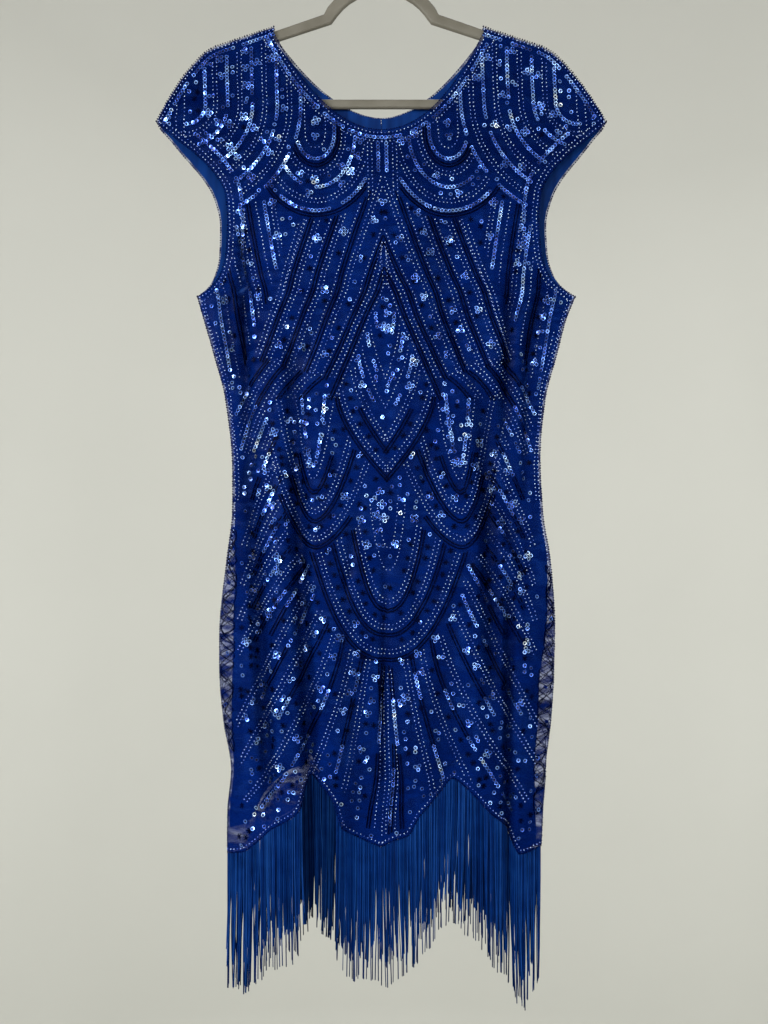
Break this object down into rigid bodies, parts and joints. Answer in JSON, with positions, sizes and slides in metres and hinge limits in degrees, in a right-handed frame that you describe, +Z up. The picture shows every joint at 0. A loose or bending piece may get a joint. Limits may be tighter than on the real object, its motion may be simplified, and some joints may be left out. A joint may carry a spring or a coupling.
{
  "type": "flapper dress on a hanger",
  "caption": "Sleeveless scoop-neck dress of beaded blue net with cap shoulders, slip lining, scalloped hem and long fringe, hung on a slim moulded hanger with a wire hook.",
  "frame": {"origin": "inside top of the hanger hook's bend, where it rests on a rod", "axes": "+Z up, -Y towards the viewer of the dress's front, +X to the wearer's left; the dress hangs down -Z"},
  "size_m": [0.494, 0.0572, 1.19],
  "materials": {
    "net": "dark royal blue net with bead and sequin work, satiny glints",
    "lining": "smooth blue satin-like slip lining",
    "fringe": "soft twisted fringe threads with a silky sheen",
    "hanger": "matte grey-brown moulded plastic",
    "hook": "plain bright steel wire"
  },
  "bodies": {
    "root": {"front": "net", "back": "net", "lining_front": "lining", "lining_back": "lining", "fringe_front": "fringe", "fringe_back": "fringe", "hanger": "hanger", "hanger_hook": "hook"}
  },
  "joints": []
}
